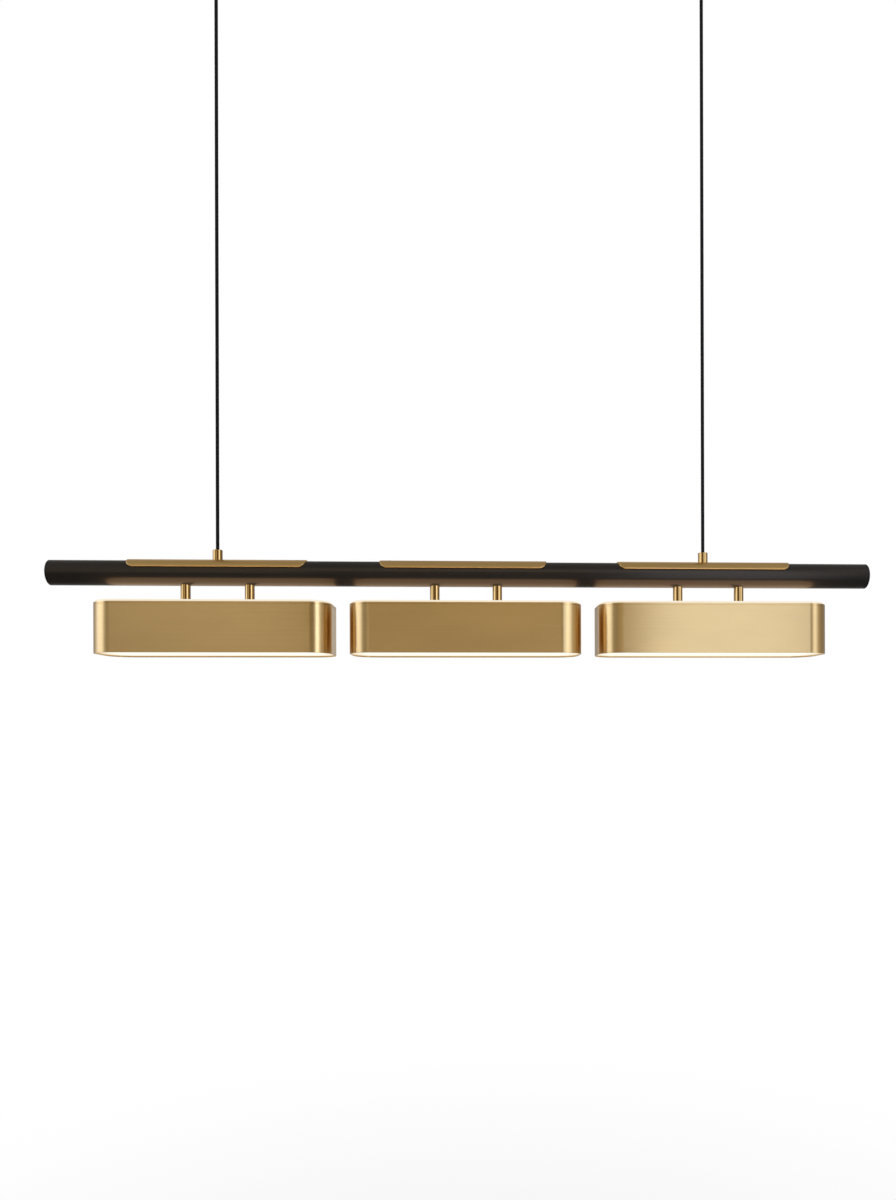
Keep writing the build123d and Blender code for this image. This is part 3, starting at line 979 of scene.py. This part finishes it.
class PENDANT_OT_screws(bpy.types.Operator):
    """Socket screws of the saddle plates, the shades and the ceiling cups"""

    bl_idname = "pendant.screws"
    bl_label = "Screws"

    plate_screw_inset = 0.014
    shade_screw_reach = 0.12
    # Radius and height of each edge, from the screw's point to its crown.
    plate_rows = ((0.0015, -0.006), (0.0015, -0.0013), (0.0028, -0.0001), (0.0026, 0.0))
    shade_rows = (
        (0.0015, -0.009),
        (0.0015, 0.0),
        (0.003, 0.0),
        (0.003, 0.0009),
        (0.0026, 0.0015),
        (0.0018, 0.0018),
    )
    cup_rows = (
        (0.002, -0.008),
        (0.002, 0.0),
        (0.0035, 0.0),
        (0.0035, 0.0011),
        (0.003, 0.0018),
        (0.0022, 0.0022),
    )
    # Radius and depth of each hexagon socket.
    plate_socket = (0.001, 0.0009)
    shade_socket = (0.0011, 0.0011)
    cup_socket = (0.0013, 0.0013)
    toward_back = Matrix.Rotation(radians(-90), 4, "X")
    toward_front = Matrix.Rotation(radians(90), 4, "X")
    grain = {"stretch": (90.0, 90.0, 90.0), "roughness": 0.25, "directional": 0.0, "depth": 0.1}

    def execute(self, context):
        colour = context.scene.pendant_colours.brass
        brass = new_finish("screw brass", brushed_metal, colour, **self.grain)
        plates = bmesh.new()
        shades = bmesh.new()
        level = middle_of("shade_screws").z
        for side in SIDES:
            low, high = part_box(f"saddle_plate_{side}")
            for x in (low.x + self.plate_screw_inset, high.x - self.plate_screw_inset):
                place = Matrix.Translation((x, 0.0, high.z))
                socket_screw(plates, place, self.plate_rows, *self.plate_socket)
            low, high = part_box(f"shade_{side}")
            for reach in (-self.shade_screw_reach, self.shade_screw_reach):
                place = Matrix.Translation(((low.x + high.x) / 2 + reach, high.y, level))
                place = place @ self.toward_back
                socket_screw(shades, place, self.shade_rows, *self.shade_socket)
        on_bar = (brass, "brushed_brass", "bar")
        mesh_piece("saddle_screws", plates, *on_bar, "saddle_plate_screws")
        mesh_piece("shade_back_screws", shades, *on_bar, "shade_screws")
        for end in ENDS:
            self.cup_screws(context, end)
        return {"FINISHED"}

    def cup_screws(self, context, end):
        replaced = f"ceiling_cup_screws_{end}"
        work = bmesh.new()
        low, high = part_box(f"ceiling_cup_{end}")
        middle = middle_of(replaced)
        for y, turned in ((high.y, self.toward_back), (low.y, self.toward_front)):
            place = Matrix.Translation((middle.x, y, middle.z)) @ turned
            socket_screw(work, place, self.cup_rows, *self.cup_socket)
        fitting = (satin_black(context), "black_metal", "ceiling_fittings")
        mesh_piece(f"cup_screws_{end}", work, *fitting, replaced)


class PENDANT_OT_grips(bpy.types.Operator):
    """Turned cord grips under the ceiling cups"""

    bl_idname = "pendant.grips"
    bl_label = "Cord grips"

    radius = 0.01
    shank_radius = 0.006
    bore_radius = 0.003
    collar_height = 0.018
    cavity_radius = 0.0073
    cavity_rise = 0.003
    groove_height = 0.005
    groove_depth = 0.0005
    chamfer = 0.0008
    cavity_steps = 12

    def execute(self, context):
        for end in ENDS:
            replaced = f"cord_grip_{end}"
            low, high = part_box(replaced)
            place = Matrix.Translation(((low.x + high.x) / 2, 0.0, 0.0))
            work = bmesh.new()
            spun(work, self.section(low.z, high.z), place)
            fitting = (satin_black(context), "black_metal", "ceiling_fittings")
            mesh_piece(f"turned_grip_{end}", work, *fitting, replaced)
        return {"FINISHED"}

    def section(self, foot, crown):
        """Radius and height of each edge: up the outside, down the bore and over the ball."""
        groove, depth, soft = foot + self.groove_height, self.groove_depth, self.chamfer
        collar = foot + self.collar_height
        outside = [
            (self.radius - soft, foot),
            (self.radius, foot + soft),
            (self.radius, groove - depth),
            (self.radius - depth, groove),
            (self.radius, groove + depth),
            (self.radius, collar - soft),
            (self.radius - soft, collar),
            (self.shank_radius, collar),
            (self.shank_radius, crown - soft),
            (self.shank_radius - soft, crown),
            (self.bore_radius, crown),
        ]
        centre, radius, steps = foot + self.cavity_rise, self.cavity_radius, self.cavity_steps
        start = acos(self.bore_radius / radius)
        stop = -asin(self.cavity_rise / radius)
        turns = [start + (stop - start) * step / steps for step in range(steps + 1)]
        cavity = [(radius * cos(turn), centre + radius * sin(turn)) for turn in turns]
        return outside + cavity


class PENDANT_OT_lights(bpy.types.Operator):
    """Finishes of the diffusers, light boxes and light boards"""

    bl_idname = "pendant.lights"
    bl_label = "Light parts"

    chip_pitch = 0.021
    row_reach = 0.025
    chip_reach = 0.0016
    board_colour = (0.8, 0.8, 0.76)
    box_colour = (0.72, 0.72, 0.7)

    def execute(self, context):
        colour = context.scene.pendant_colours.glow
        sizes = context.scene.pendant_sizes
        corner = sizes.shade_corner - sizes.shade_wall
        chips = (self.chip_pitch, self.row_reach, self.chip_reach)
        for side in SIDES:
            low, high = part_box(f"upper_diffuser_{side}")
            size = high - low
            middle = (low.x + high.x) / 2
            shape = (middle, size.x, size.y, corner)
            glow = new_finish(f"lit opal acrylic {side}", opal_glow, colour, *shape)
            coat_nodes([f"upper_diffuser_{side}", f"lower_diffuser_{side}"], glow)
            printed = (light_board, self.board_colour, middle, *chips)
            board = new_finish(f"white printed board {side}", *printed)
            coat_nodes([f"upper_light_board_{side}", f"lower_light_board_{side}"], board)
        white = new_finish("white coated aluminium", powder_coat, self.box_colour, roughness=0.35)
        coat_nodes([f"light_box_{side}" for side in SIDES], white)
        return {"FINISHED"}


class PENDANT_OT_ceiling(bpy.types.Operator):
    """Finishes of the ceiling fittings and of the parts inside the tube"""

    bl_idname = "pendant.ceiling"
    bl_label = "Ceiling fittings"

    zinc_colour = (0.62, 0.62, 0.64)
    plastic_colour = (0.78, 0.78, 0.75)
    nylon_colour = (0.03, 0.03, 0.03)

    def execute(self, context):
        zinc = new_finish("zinc plate", zinc_plate, self.zinc_colour)
        white = new_finish("white plastic", moulded_plastic, self.plastic_colour, roughness=0.4)
        nylon = new_finish("black nylon", moulded_plastic, self.nylon_colour, roughness=0.5)
        plated = ("ceiling_strap", "cord_grip_nut", "cable_gland_nut")
        for end in ENDS:
            coat_nodes([f"ceiling_cup_{end}"], satin_black(context))
            coat_nodes([f"{name}_{end}" for name in plated], zinc)
            coat_nodes([f"ceiling_terminal_block_{end}"], white)
            coat_nodes([f"swivel_ball_{end}"], nylon)
        coat_nodes(["stem_top_nuts", "stem_foot_nuts"], zinc)
        coat_nodes(["led_driver", "wiring_block"], white)
        return {"FINISHED"}


class PENDANT_PT_panel(bpy.types.Panel):
    """The pendant's steps and settings"""

    bl_label = "Linear island pendant"
    bl_idname = "PENDANT_PT_panel"
    bl_space_type = "VIEW_3D"
    bl_region_type = "UI"
    bl_category = "Pendant"

    def draw(self, context):
        layout = self.layout
        for step in STEPS:
            layout.operator(step.bl_idname)
        for group in SETTINGS:
            settings = getattr(context.scene, group)
            box = layout.box()
            for name in settings.__annotations__:
                box.prop(settings, name)


STEPS = (
    PENDANT_OT_stage,
    PENDANT_OT_cords,
    PENDANT_OT_shades,
    PENDANT_OT_bar,
    PENDANT_OT_caps,
    PENDANT_OT_screws,
    PENDANT_OT_grips,
    PENDANT_OT_lights,
    PENDANT_OT_ceiling,
)
SETTINGS = {
    "pendant_sizes": PendantSizes,
    "pendant_colours": PendantColours,
    "pendant_studio": StudioSettings,
}


def register():
    for group in (*SETTINGS.values(), *STEPS, PENDANT_PT_panel):
        bpy.utils.register_class(group)
    for name, group in SETTINGS.items():
        setattr(bpy.types.Scene, name, PointerProperty(type=group))


def unregister():
    for name in SETTINGS:
        delattr(bpy.types.Scene, name)
    for group in reversed((*SETTINGS.values(), *STEPS, PENDANT_PT_panel)):
        bpy.utils.unregister_class(group)


def main():
    register()
    for step in STEPS:
        family, action = step.bl_idname.split(".")
        getattr(getattr(bpy.ops, family), action)()


if __name__ == "__main__":
    main()
